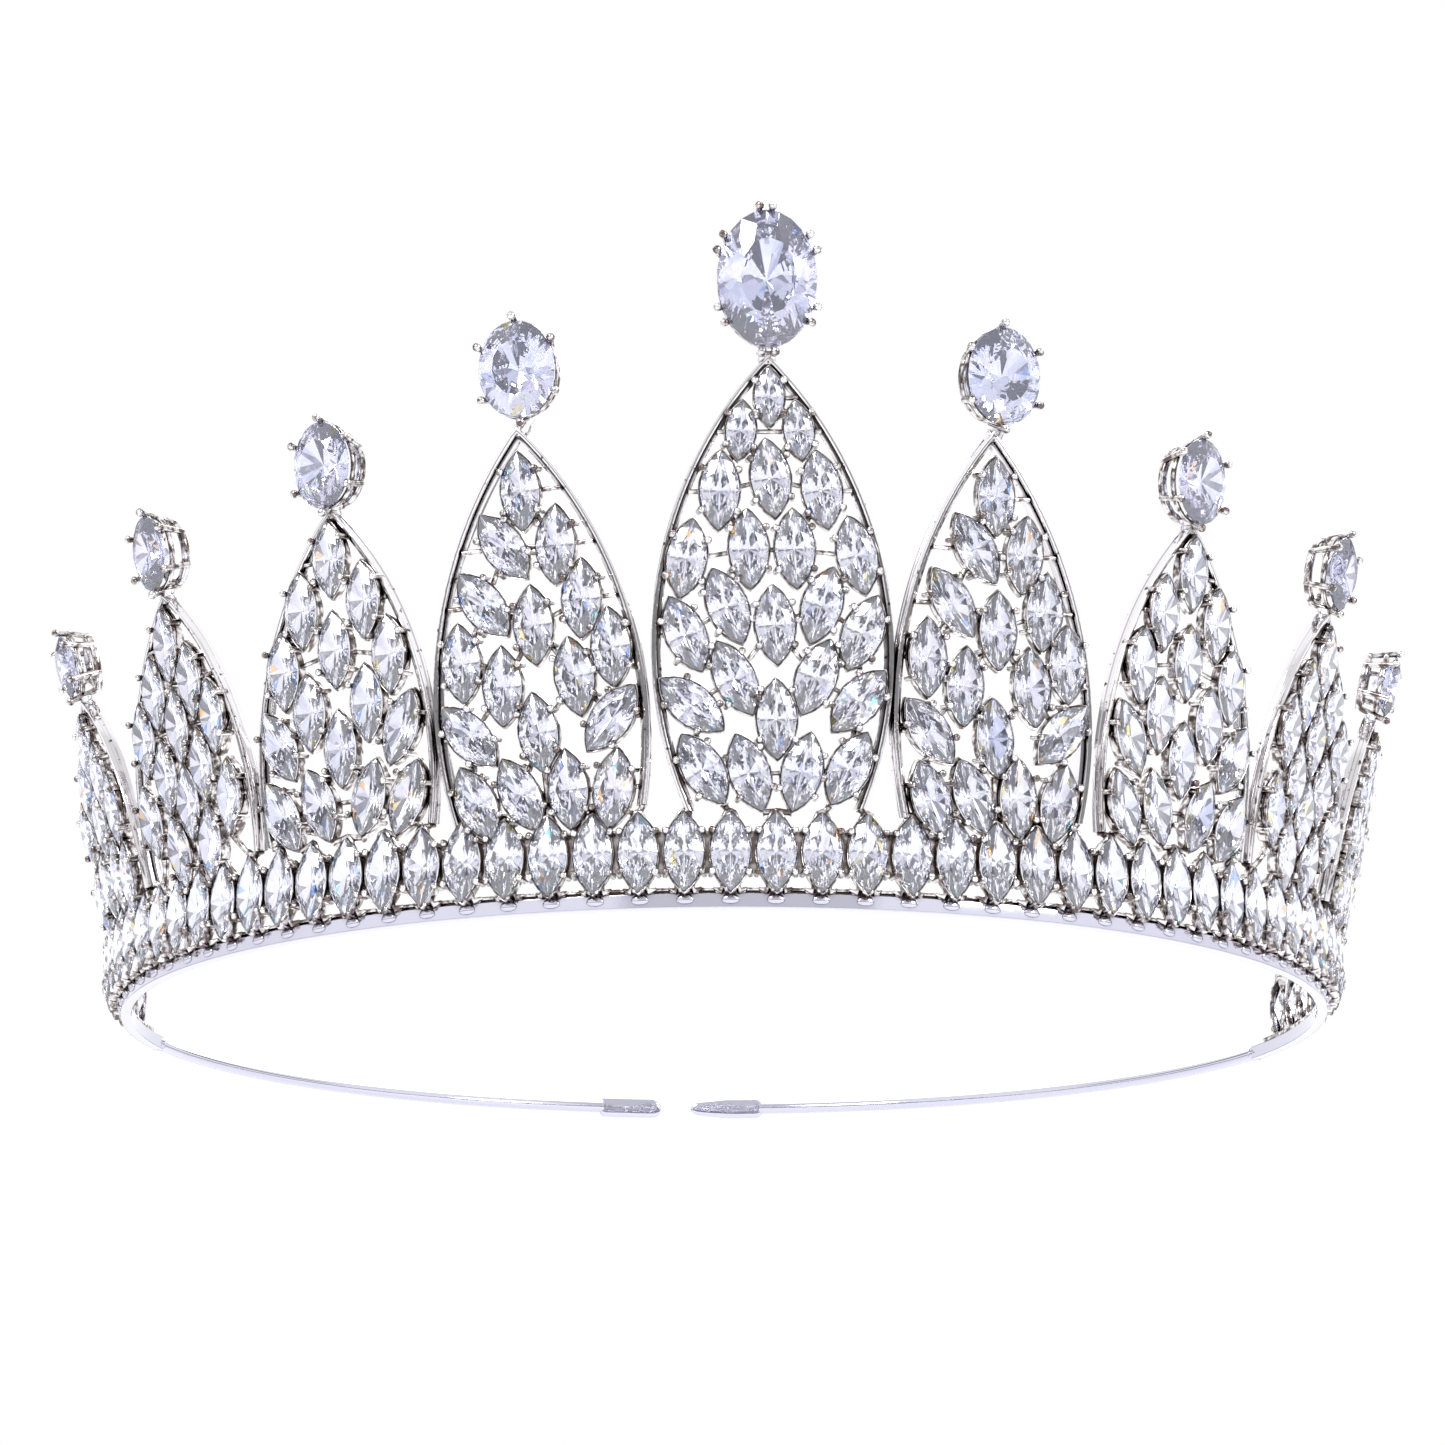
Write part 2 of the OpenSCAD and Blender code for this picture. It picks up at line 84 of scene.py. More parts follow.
# Settings
WALL_STEPS = 14  # steps of a setting's wall along each side of its stone
WALL = [  # its section in mm: distance outside the stone's outline, and depth behind it
    (0.06, 0.08), (0.15, 0.06), (0.20, 0.16), (0.20, 0.75), (0.13, 1.12), (0.02, 1.32),
    (-0.16, 1.35), (-0.24, 1.22), (-0.22, 0.80), (-0.06, 0.30),
]
WALL_MIDDLE = 0.05 * MM  # from the stone's outline to the middle of its wall
PRONG_AT = 0.5  # place of the prongs, as a share of half the stone's length
PRONG_OUT, PRONG_LEAN = 0.42 * MM, 0.18 * MM  # from the outline to the post, and its lean
PRONG_BACK, PRONG_TOP = 1.2 * MM, 0.36 * MM
POST_R, BALL_R = 0.31 * MM, 0.39 * MM
PRONG_OVERLAP = 0.1 * MM  # a prong further inside another stone's outline is left out
LINK_REACH = 7 * MM  # settings whose middles are nearer than this are joined by a bar
LINK_BACK, LINK_R = 0.85 * MM, 0.27 * MM
LINK_SHORTEST = 0.02 * MM  # a shorter bar is left out
RIM_REACH = 5.2 * MM  # settings whose middle is nearer to the rim than this are joined to it
RIM_HOLD = 0.9 * MM  # how far inside the arch's outline the bars to the rim end

# Rims of the arches
RIM_STEPS = 44
RIM = [  # their section in mm: distance in from the outline, and depth behind the front
    (0.00, 0.12), (0.04, 0.03), (0.13, 0.00), (0.40, 0.00), (0.48, 0.04), (0.50, 0.14),
    (0.51, 0.80), (0.61, 0.80), (0.63, 0.60), (0.90, 0.60), (0.98, 0.64), (1.00, 0.74),
    (1.00, 1.36), (0.96, 1.46), (0.86, 1.50), (0.12, 1.50), (0.03, 1.46), (0.00, 1.36),
    (0.00, 1.02), (0.09, 0.94), (0.09, 0.56), (0.00, 0.48),
]
NECK = [  # profile of the joint under a basket: share of its height, and half width in mm
    (0, 0.55), (0.12, 0.9), (0.3, 1.0), (0.5, 0.92), (0.7, 0.95), (0.88, 1.15), (1, 1.25),
]
NECK_HALF_DEPTH = 0.72 * MM
NECK_BELOW, NECK_ABOVE = 1.1 * MM, 0.25 * MM  # reach below the arch's point, and into the basket

# Baskets of the oval stones
BASKET_BACK = 3.0 * MM
BASKET_SHRINK = 0.85  # size of the ring of prong feet, as a share of the stone
BACK_RING_SHRINK, BACK_RING = 0.81, 0.8 * MM
GALLERY_BACK, GALLERY_SHRINK = 1.05 * MM, 0.95
GALLERY_WIDE, GALLERY_DEEP = 0.45 * MM, 0.55 * MM
CLAW_PAST = 0.3 * MM  # how far a prong goes on behind the back ring
CLAW_OUT, CLAW_TOP = 0.46 * MM, 0.34 * MM  # its tip, outside and in front of the outline
CLAW_R, CLAW_BALL_R = 0.34 * MM, 0.46 * MM
TWIN_SPREAD = math.radians(7)  # from the middle of a pair of prongs to each of them

# Band, rail and base row
STRIP_H, STRIP_T = 1.5 * MM, 1.2 * MM
STRIP_END = math.radians(106)  # where the wire takes over, from the front centre
WIRE_R = 0.65 * MM
RAIL_LOW, RAIL_TOP = 1.72 * MM, 2.08 * MM  # top of the slots, and of the rail
RAIL_INNER, RAIL_OUTER = 0.95 * MM, 0.05 * MM  # inwards from the outer radius
SLOT_SHADE_INNER, SLOT_SHADE_OUTER = 0.9 * MM, 0.75 * MM  # the same for the painted shade strip in the rail
SUNK = 0.05 * MM  # how deep the rail sits in the strip
SLOT = 1.6 * MM
PAD_R, PAD_OUT = 0.9 * MM, 0.35 * MM  # half its width, and how far it stands out
WEB_HALF, WEB_FRONT, WEB_BACK = 2.1 * MM, 0.55 * MM, 1.0 * MM
STEM_REACH = 4.6 * MM  # the row is joined to parts of the arches that are nearer than this
STEM_BACK = 0.6 * MM
WIRE_CLIMB = 0.5 * MM  # how far the wire climbs on its way to the back
TIP_H, TIP_T = 2.4 * MM, 0.9 * MM
TIP_START = {-1: 10.6 * MM, 1: 9.6 * MM}  # from the back centre to the end of the wire, by side

# Camera
CAMERA_PLACE = Vector((-37.0, -485.9, -85.7)) * MM
CAMERA_TURN, CAMERA_RISE, CAMERA_ROLL = map(math.radians, (-4.35, 13.99, -0.23))
LENS, SENSOR = 108.2, 36.0
FLOOR_Z, FLOOR_HALF = -0.14, 2.5


# ---------------------------------------------------------------- reading the frame


def welded(node):
    """A CAD node's points and triangles, with the points of its seams joined."""
    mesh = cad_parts[node].data
    mesh.calc_loop_triangles()
    points = np.array([v.co for v in mesh.vertices])
    triangles = np.array([t.vertices for t in mesh.loop_triangles])
    cells = np.round(points / WELD)
    _, first, same = np.unique(cells, axis=0, return_index=True, return_inverse=True)
    return points[first], same.reshape(-1)[triangles]


def islands(node):
    """The loose solids of a CAD node, each as (points, triangles)."""
    points, triangles = welded(node)
    label = np.arange(len(points))
    while True:
        lowest = label[triangles].min(1)
        lower = label.copy()
        for corner in range(3):
            np.minimum.at(lower, triangles[:, corner], lowest)
        lower = lower[lower]
        if (lower == label).all():
            break
        label = lower
    for name in np.unique(label[triangles]):
        own = np.flatnonzero(label == name)
        renumber = np.zeros(len(points), int)
        renumber[own] = np.arange(len(own))
        yield points[own], renumber[triangles[label[triangles[:, 0]] == name]]


class Place:
    """Where a stone sits: the middle of its outline, three directions, width and length.

    Its largest flat face is the table, which gives the front. Its longest line gives the way up.
    """

    def __init__(self, points, triangles):
        edges = points[triangles]
        normals = np.cross(edges[:, 1] - edges[:, 0], edges[:, 2] - edges[:, 0])
        areas = np.linalg.norm(normals, axis=1)
        ok = areas > 0
        normals, areas = normals[ok], areas[ok]
        ways = np.round(normals / areas[:, None], 2)
        group = np.unique(ways, axis=0, return_inverse=True)[1].reshape(-1)
        table = np.bincount(group, areas).argmax()
        front = normals[group == table].sum(0)
        front /= np.linalg.norm(front)
        flat = points - np.outer(points @ front, front)
        gaps = np.linalg.norm(flat[:, None] - flat[None], axis=2)
        a, b = np.unravel_index(gaps.argmax(), gaps.shape)
        up = flat[a] - flat[b]
        self.length = np.linalg.norm(up)
        up /= self.length * (1 if up[2] > 0 else -1)
        across = np.cross(up, front)
        height = flat @ up
        tips = (height > height.max() - LEVEL) | (height < height.min() + LEVEL)
        self.width = np.ptp(points @ across)
        self.middle = points[tips & (gaps.max(1) > self.length - LEVEL)].mean(0)
        self.axes = np.array([across, up, front])
        # The radius of a marquise's sides. It means nothing on an oval stone.
        self.arc = (self.length**2 + self.width**2) / (4 * self.width)

    def world(self, local):
        """Points given as (across, up, front) from the middle of the outline, in the frame."""
        return self.middle + np.asarray(local) @ self.axes

    def local(self, points):
        """The reverse of world."""
        return (np.asarray(points) - self.middle) @ self.axes.T


def places(node):
    """The stones of a CAD node, from the bottom up."""
    found = [Place(*solid) for solid in islands(node)]
    return sorted(found, key=lambda p: (round(p.middle[2], 5), round(p.middle[0], 5)))


# ---------------------------------------------------------------- making meshes


class Shape:
    """Collects the surfaces of one piece."""

    def __init__(self):
        self.points, self.faces, self.shades = [], [], []

    def add(self, points, faces, shades=None):
        """Adds faces that count their points from 0, with a shade for each."""
        start = len(self.points)
        self.points.extend(map(tuple, points))
        self.faces.extend(tuple(start + i for i in face) for face in faces)
        self.shades.extend(shades if shades is not None else [0.0] * len(faces))

    def skin(self, rings, closed=False):
        """Joins rings of equally many points by quads, end to end or with a cap at both ends."""
        n, m = len(rings[0]), len(rings)
        faces = []
        for j in range(m if closed else m - 1):
            for i in range(n):
                a, b = j * n, (j + 1) % m * n
                faces.append((a + i, a + (i + 1) % n, b + (i + 1) % n, b + i))
        if not closed:
            faces += [tuple(range(n))[::-1], tuple(range((m - 1) * n, m * n))]
        self.add(np.concatenate(rings), faces)

    def piece(self, name, material, slot, nodes, sharp=None):
        """Makes the piece. Edges over `sharp` degrees stay sharp, or all of them if it is None."""
        mesh = bpy.data.meshes.new(name)
        mesh.from_pydata(self.points, [], self.faces)
        mesh.attributes.new("shade", "FLOAT", "FACE").data.foreach_set("value", self.shades)
        mesh.polygons.foreach_set("use_smooth", [sharp is not None] * len(mesh.polygons))
        mesh.materials.append(material)
        piece = bpy.data.objects.new(name, mesh)
        bpy.context.scene.collection.objects.link(piece)
        if sharp:
            mesh.set_sharp_from_angle(angle=math.radians(sharp))
            flat_faces_first = piece.modifiers.new("normals", "WEIGHTED_NORMAL")
            flat_faces_first.keep_sharp = True
        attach(piece, "root")
        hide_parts(*nodes)


def around(way):
    """Two directions square to a way."""
    side = np.cross(way, (0, 0, 1) if abs(way[2]) < 0.9 * np.linalg.norm(way) else (1, 0, 0))
    side = side / np.linalg.norm(side)
    return side, np.cross(way / np.linalg.norm(way), side)


def circle(middle, a, b, n):
    """A ring of n points in the plane of a and b."""
    turn = np.linspace(0, 2 * math.pi, n, endpoint=False)[:, None]
    return middle + np.cos(turn) * a + np.sin(turn) * b


def rod(shape, start, end, profile, n=10):
    """A turned rod. Its profile lists (share of the way, further along, radius)."""
    start, end = np.asarray(start), np.asarray(end)
    way = end - start
    unit = way / np.linalg.norm(way)
    a, b = around(way)
    shape.skin([circle(start + way * s + unit * d, a * r, b * r, n) for s, d, r in profile])


def round_rod(shape, start, end, r, n=8):
    """A rod with eased ends."""
    tip = 0.35 * r
    rod(shape, start, end, [(0, -tip, 0.5 * r), (0, 0, r), (1, 0, r), (1, tip, 0.5 * r)], n)


def tube(shape, points, radii, side, n=10):
    """A bent rod through points, with a radius at each. Side is never along its way."""
    ways = np.gradient(np.asarray(points), axis=0)
    rings = []
    for point, way, r in zip(points, ways, radii):
        a = np.cross(way, side)
        a /= np.linalg.norm(a)
        rings.append(circle(point, a * r, np.cross(way, a) / np.linalg.norm(way) * r, n))
    shape.skin(rings)


def ball_rod(shape, start, end, r, ball, n=10):
    """A post that ends in a ball, whose middle is the end."""
    hidden = math.sqrt(max(ball * ball - r * r, 0))
    turns = np.linspace(0, math.pi, 8)[1:-1]
    dome = [(1, -ball * math.cos(t), ball * math.sin(t)) for t in turns]
    dome = [d for d in dome if d[1] > -hidden] + [(1, ball, 0.02 * ball)]
    rod(shape, start, end, [(0, 0, 0.8 * r), (0, 0.5 * r, r), (1, -hidden, r)] + dome, n)


# ---------------------------------------------------------------- stones


def lens(place, grow, turn):
    """A point of a marquise outline grown by a distance, at a turn from the right side."""
    r = place.arc
    c = r - place.width / 2
    half = math.sqrt((r + grow) ** 2 - c * c)
    y = half * math.sin(turn)
    return math.copysign(max(math.sqrt((r + grow) ** 2 - y * y) - c, 0), math.cos(turn)), y


def ellipse(place, grow, turn):
    """A point of an oval outline, likewise."""
    return (place.width / 2 + grow) * math.cos(turn), (place.length / 2 + grow) * math.sin(turn)


def brilliant(shape, place, outline, rng, n):
    """A brilliant cut stone whose table has n sides.

    Above the edge it has stars, kites and halves, and below it mains and halves. The small
    facets are those that can show painted fire, glints of coloured light.
    """
    crown, pavilion, edge = (share * place.width for share in (CROWN, PAVILION, GIRDLE))
    crown -= edge / 2
    pavilion -= edge / 2

    def ring(scale, height, half_step):
        turns = [math.pi / n * (2 * i + half_step) for i in range(n)]
        return [(*(scale * v for v in outline(place, 0, turn)), height) for turn in turns]

    slope = math.cos(math.pi / n)
    break_up = crown * (1 - CROWN_BREAK * slope) / (1 - TABLE)
    break_down = pavilion * (1 - PAVILION_BREAK * slope)
    top = edge / 2
    points = (
        ring(TABLE, top + crown, 0) + ring(CROWN_BREAK, top + break_up, 1)
        + ring(1, top, 0) + ring(1, top, 1) + ring(1, -top, 0) + ring(1, -top, 1)
        + ring(PAVILION_BREAK, -top - break_down, 1) + [(0, 0, -top - pavilion)]
    )
    t, s, g, h, lo, ho, q, keel = (n * i for i in range(8))
    faces = [tuple(range(t, t + n))]
    for i in range(n):
        j, k = (i + 1) % n, (i - 1) % n
        faces += [
            (t + i, s + i, t + j), (t + i, s + k, g + i), (t + i, g + i, s + i),
            (s + i, g + i, h + i), (s + i, h + i, g + j),
            (g + i, lo + i, ho + i, h + i), (h + i, ho + i, lo + j, g + j),
            (q + i, ho + i, lo + i), (q + i, lo + j, ho + i),
            (keel, lo + i, q + k), (keel, q + i, lo + i),
        ]
    small = [False] + [kind in (0, 3, 4, 7, 8) for _ in range(n) for kind in range(11)]
    shape.add(place.world(points), faces, [rng.random() * (1 if s else PAINTED_FIRE_FROM) for s in small])


# ---------------------------------------------------------------- settings


def wall(shape, place):
    """The boat shaped wall round a marquise stone."""
    turns = [math.pi * (i / WALL_STEPS - 0.5) for i in range(2 * WALL_STEPS)]
    rings = [
        place.world([(*lens(place, out * MM, t), -back * MM) for t in turns])
        for out, back in WALL
    ]
    shape.skin(rings, closed=True)


def prong_spots(place):
    """Places of the four prongs in the plane of a stone, with the way outwards."""
    for side in (-1, 1):
        for end in (-1, 1):
            x, y = lens(place, 0, math.asin(PRONG_AT * end))
            out = np.array([(x + place.arc - place.width / 2) * side, y]) / place.arc
            yield np.array([x * side, y]), out


def is_over(point, others):
    """Whether a point lies over one of these stones."""
    for other in others:
        x, y, _ = other.local(point)
        if math.hypot(abs(x) + other.arc - other.width / 2, y) < other.arc - PRONG_OVERLAP:
            return True
    return False


def prongs(shape, place, others):
    """A stone's ball prongs, but for those that other stones leave no room for."""
    for spot, out in prong_spots(place):
        foot, tip = spot + out * PRONG_OUT, spot + out * (PRONG_OUT - PRONG_LEAN)
        if not is_over(place.world((*foot, 0)), others):
            start, end = place.world([(*foot, -PRONG_BACK), (*tip, PRONG_TOP)])
            ball_rod(shape, start, end, POST_R, BALL_R)


def wall_distance(place, way):
    """How far the wall's middle is from a stone's middle, along a way in its plane."""
    x, y, _ = place.axes @ way
    low, high = 0.0, place.length
    r = place.arc
    while high - low > SEARCH:
        mid = (low + high) / 2
        inside = math.hypot(abs(x) * mid + r - place.width / 2, y * mid) < r + WALL_MIDDLE
        low, high = (mid, high) if inside else (low, mid)
    return low


def link(shape, a, b):
    """A bar between the walls of two settings."""
    way = b.middle - a.middle
    gap = np.linalg.norm(way)
    way = way / gap
    start = a.world((0, 0, -LINK_BACK)) + way * wall_distance(a, way)
    end = b.world((0, 0, -LINK_BACK)) - way * wall_distance(b, way)
    if (end - start) @ way > LINK_SHORTEST:
        round_rod(shape, start, end, LINK_R)


def links(shape, stones):
    """The bars between all settings that are near each other."""
    for i, a in enumerate(stones):
        for b in stones[i + 1:]:
            if np.linalg.norm(a.middle - b.middle) < LINK_REACH:
                link(shape, a, b)


class Arch:
    """The outline of an arch, measured on its CAD frame: two arcs that meet in a point."""

    def __init__(self, name):
        self.oval = places(name + "_oval_stone")[0]
        points, _ = welded(name + "_frame")
        local = self.oval.local(points)
        self.front, self.back = local[:, FRONT].max(), local[:, FRONT].min()
        self.neck_top = local[:, UP].max()
        face = local[local[:, FRONT] > self.front - LEVEL]
        self.middle = (face[:, ACROSS].max() + face[:, ACROSS].min()) / 2
        self.half = np.ptp(face[:, ACROSS]) / 2
        self.top, self.foot = face[:, UP].max(), face[:, UP].min()
        feet = face[face[:, UP] < self.foot + LEVEL]
        foot_half = abs(feet[:, ACROSS] - self.middle).max()
        low, high = self.foot, self.top
        while high - low > SEARCH / 10:
            self.widest = (low + high) / 2
            self.r = ((self.top - self.widest) ** 2 + self.half**2) / (2 * self.half)
            self.c = self.r - self.half
            if self.half_at(self.foot) > foot_half:
                low = self.widest
            else:
                high = self.widest

    def half_at(self, height):
        """Half the arch's width at a height."""
        return math.sqrt(self.r**2 - (height - self.widest) ** 2) - self.c

    def ring(self, share, side):
        """The rim's section at a share of the way from a foot to the point."""
        ring = []
        for inwards, depth in RIM:
            r = self.r - inwards * MM
            start = math.asin((self.foot - self.widest) / r)
            turn = start + share * (math.acos(self.c / r) - start)
            x, y = r * math.cos(turn) - self.c, self.widest + r * math.sin(turn)
            ring.append((self.middle + side * x, y, self.front - depth * MM))
        return self.oval.world(ring)


def rim(shape, arch):
    """The rim of an arch, from one foot over the point to the other."""
    steps = [i / RIM_STEPS for i in range(RIM_STEPS + 1)]
    shape.skin([arch.ring(s, 1) for s in steps] + [arch.ring(s, -1) for s in steps[-2::-1]])


def neck(shape, arch):
    """The solid joint between the point of an arch and its basket."""
    depth = (arch.front + arch.back) / 2
    low, high = arch.top - NECK_BELOW, arch.neck_top + NECK_ABOVE
    rings = []
    for share, wide in NECK:
        across = (1 - share) * arch.middle
        half, deep = np.array((wide * MM, 0, 0)), np.array((0, 0, NECK_HALF_DEPTH))
        ring = circle((0, 0, 0), half, deep, 20)
        ring += (across, low + share * (high - low), depth)
        rings.append(arch.oval.world(ring))
    shape.skin(rings[::-1])


def rim_links(shape, arch, stones):
    """The bars between an arch's rim and the settings beside it."""
    for stone in stones:
        x, y, z = arch.oval.local(stone.middle)
        edge = arch.half_at(y) - RIM_HOLD
        side = 1 if x > arch.middle else -1
        out = abs(x - arch.middle)
        way = arch.oval.axes[ACROSS] * side
        start = wall_distance(stone, way)
        if edge - out < RIM_REACH and edge - out > start:
            a = (x + side * start, y, z - LINK_BACK)
            b = (arch.middle + side * edge, y, z - LINK_BACK)
            round_rod(shape, *arch.oval.world([a, b]), LINK_R)


# ---------------------------------------------------------------- baskets


def eased(value, power):
    """A sine or cosine pushed outwards, which turns a circle into an eased square."""
    return math.copysign(abs(value) ** power, value)


def oval_ring(shape, place, scale, back, wide, deep):
    """A ring with an eased square section that follows an oval stone."""
    section = [
        (eased(math.cos(t), 0.6), eased(math.sin(t), 0.6))
        for t in np.linspace(0, 2 * math.pi, 12, endpoint=False)
    ]
    rings = []
    for t in np.linspace(0, 2 * math.pi, 56, endpoint=False):
        x, y = ellipse(place, 0, t)
        out = np.array((x / place.width**2, y / place.length**2))
        out /= np.linalg.norm(out)
        mid = np.array((x, y)) * scale
        rings.append(place.world([
            (*(mid + out * u * wide / 2), -back + v * deep / 2) for u, v in section
        ]))
    shape.skin(rings, closed=True)


def basket(shape, place, twins):
    """Two rings and six prongs, or six pairs of prongs, round an oval stone."""
    oval_ring(shape, place, BACK_RING_SHRINK, BASKET_BACK, BACK_RING, BACK_RING)
    oval_ring(shape, place, GALLERY_SHRINK, GALLERY_BACK, GALLERY_WIDE, GALLERY_DEEP)
    spread = [-TWIN_SPREAD, TWIN_SPREAD] if twins else [0]
    for turn in [math.radians(30 + 60 * i) + s for i in range(6) for s in spread]:
        x, y = ellipse(place, 0, turn)
        out = np.array((math.cos(turn), math.sin(turn)))
        foot = np.array((x, y)) * BASKET_SHRINK
        tip = np.array((x, y)) + out * CLAW_OUT
        start, end = place.world([(*foot, -BASKET_BACK - CLAW_PAST), (*tip, CLAW_TOP)])
        ball_rod(shape, start, end, CLAW_R, CLAW_BALL_R, 12)


# ---------------------------------------------------------------- base row and band


def turned(shape, section, start, end, steps):
    """A section of (radius, height) points turned between two angles from the front."""
    rings = []
    for turn in np.linspace(start, end, steps):
        points = section(turn) if callable(section) else section
        rings.append([(r * math.sin(turn), -r * math.cos(turn), z) for r, z in points])
    shape.skin([np.array(ring) for ring in rings])


def rounded(r0, r1, z0, z1, edge):
    """A rectangular section with eased corners."""
    bit = 0.3 * edge
    return [
        (r0 + edge, z0), (r1 - edge, z0), (r1 - bit, z0 + bit), (r1, z0 + edge),
        (r1, z1 - edge), (r1 - bit, z1 - bit), (r1 - edge, z1), (r0 + edge, z1),
        (r0 + bit, z1 - bit), (r0, z1 - edge), (r0, z0 + edge), (r0 + bit, z0 + bit),
    ]


def base_feet(shape, place):
    """The two feet that spread from the lower point of a stone to the rail, and its fork."""
    low = -place.length / 2
    bends = ((1.0, 1.35, 0.8), (0.72, 0.75, 0.95), (0.85, 0.3, 1.2), (1.6, 0.0, 1.6))
    for side in (-1, 1):
        path = place.world([
            (side * x * MM, low + y * MM, -back * MM) for x, y, back in bends
        ])
        path[-1][2] = RAIL_TOP - 0.12 * MM
        tube(shape, path, [r * MM for r in (0.2, 0.34, 0.36, 0.2)], place.axes[FRONT])
        top, bottom = place.world([
            (side * 0.36 * MM, low + 0.22 * MM, -0.25 * MM),
            (side * 0.36 * MM, low + 0.05 * MM, -1.2 * MM),
        ])
        ball_rod(shape, bottom, top, 0.22 * MM, 0.27 * MM, 8)


def cap(shape, place):
    """The bent claw over the upper point of a stone of the row."""
    high = place.length / 2
    bends = ((-0.78, -0.7, 0.3), (-0.42, -0.05, 0.25), (0, 0.24, 0.5), (0.42, -0.05, 0.25),
             (0.78, -0.7, 0.3))
    path = place.world([(x * MM, high + y * MM, -back * MM) for x, y, back in bends])
    tube(shape, path, [r * MM for r in (0.2, 0.27, 0.3, 0.27, 0.2)], place.axes[FRONT])


def stem(shape, place, target):
    """A curved stem from the upper point of a stone of the row to a part of an arch."""
    start = place.world((0, place.length / 2 + 0.1 * MM, -STEM_BACK))
    across = place.axes[ACROSS]
    bend = (start + target) / 2 + (target - start) @ across * 0.3 * across
    shares = np.linspace(0, 1, 9)
    path = [(1 - t) ** 2 * start + 2 * t * (1 - t) * bend + t * t * target for t in shares]
    tube(shape, path, [(0.5 - 0.7 * t * (1 - t)) * MM for t in shares], place.axes[FRONT])


def web(shape, a, b):
    """The rough metal that closes the gap between two stones of the row."""
    rings = []
    for y in np.linspace(-WEB_HALF, WEB_HALF, 11):
        x = math.sqrt(a.arc * a.arc - y * y) - a.arc + a.width / 2 + 0.1 * MM
        rings.append(np.array([
            a.world((x, y, -WEB_FRONT)), b.world((-x, y, -WEB_FRONT)),
            b.world((-x, y, -WEB_BACK)), a.world((x, y, -WEB_BACK)),
        ]))
    shape.skin(rings)


def base_row(shape, stones, feet):
    """The settings of the row, and the stems that join it to the feet of the arches."""
    for i, stone in enumerate(stones):
        wall(shape, stone)
        prongs(shape, stone, stones[max(i - 1, 0):i] + stones[i + 1:i + 2])
        base_feet(shape, stone)
        cap(shape, stone)
    for a, b in zip(stones, stones[1:]):
        web(shape, a, b)
    points = [stone.world((0, stone.length / 2, -STEM_BACK)) for stone in stones]
    for foot in feet:
        gaps = [np.linalg.norm(point - foot) for point in points]
        if min(gaps) < STEM_REACH:
            stem(shape, stones[int(np.argmin(gaps))], foot)


def arch_feet(arch, stones):
    """Where an arch stands on the row: the ends of its rim and the ends of its lowest stones."""
    feet = [arch.ring(0, side).mean(0) for side in (-1, 1)]
    for stone in stones:
        end = stone.world((0, -stone.length / 2 - 0.1 * MM, -0.7 * MM))
        if arch.oval.local(end)[UP] < arch.foot + STEM_REACH:
            feet.append(end)
    return feet


def rail(shape, stones, outer):
    """The slotted rail on the strip, and a thin strip that darkens its slots as painted shade."""
    turns = [from_front(stone) for stone in stones]
    pitch = turns[1] - turns[0]
    half_slot = SLOT / 2 / outer
    foot = STRIP_H - SUNK

    def section(turn):
        off = abs((turn - turns[0]) % pitch - pitch / 2)
        low = RAIL_LOW if off < half_slot else foot
        return rounded(outer - RAIL_INNER, outer - RAIL_OUTER, low, RAIL_TOP, 0.12 * MM)

    ends = (turns[0] - 0.4 * pitch, turns[-1] + 0.4 * pitch)
    turned(shape, section, *ends, 30 * len(stones))
    top = RAIL_TOP - 0.1 * MM
    # Painted shade: this strip sits deep in the rail, so the painted crevice shade of its metal
    # turns it dark behind the slots.
    slot_shade_strip = rounded(outer - SLOT_SHADE_INNER, outer - SLOT_SHADE_OUTER, foot, top, 0.03 * MM)
    turned(shape, slot_shade_strip, *ends, 240)


def pad(shape, turn, outer):
    """A half round pad on the front of the strip, under a stone."""
    out = np.array((math.sin(turn), -math.cos(turn), 0))
    side = np.array((math.cos(turn), math.sin(turn), 0))
    arc = np.linspace(0, math.pi, 16)[:, None]
    reach = np.cos(arc) * side * PAD_R + np.sin(arc) * out * PAD_OUT
    root = out * (outer - 0.02 * MM)
    profile = ((0.40, 0.30), (0.46, 0.60), (0.58, 0.88), (0.75, 1.0), (1.0, 0.94), (1.25, 0.75),
               (1.42, 0.4))
    shape.skin([root + reach * r + (0, 0, z * MM) for z, r in profile])


def headband(shape, outer):
    """The flat strip, the round wire behind it and the solder beads where they meet."""
    middle = outer - STRIP_T / 2
    strip = rounded(outer - STRIP_T, outer, 0, STRIP_H, 0.13 * MM)
    turned(shape, strip, -STRIP_END, STRIP_END, 260)
    for side in (-1, 1):
        end = math.pi - TIP_START[side] / middle

        def wire(turn):
            climb = WIRE_CLIMB * (math.cos(STRIP_END) - math.cos(turn)) / (1 + math.cos(STRIP_END))
            return [
                (middle + WIRE_R * math.cos(t), STRIP_H / 2 + climb + WIRE_R * math.sin(t))
                for t in np.linspace(0, 2 * math.pi, 18, endpoint=False)
            ]

        turned(shape, wire, side * (STRIP_END - 0.01), side * end, 90)
        for further, r in ((0, 0.84), (0.004, 0.80), (-0.006, 0.78)):
            turn = side * (STRIP_END + further)
            at = np.array((middle * math.sin(turn), -middle * math.cos(turn), STRIP_H / 2))
            along = np.array((math.cos(turn), math.sin(turn), 0))
            ball_rod(shape, at - along * 0.4 * MM, at, 0.3 * MM, r * MM, 16)


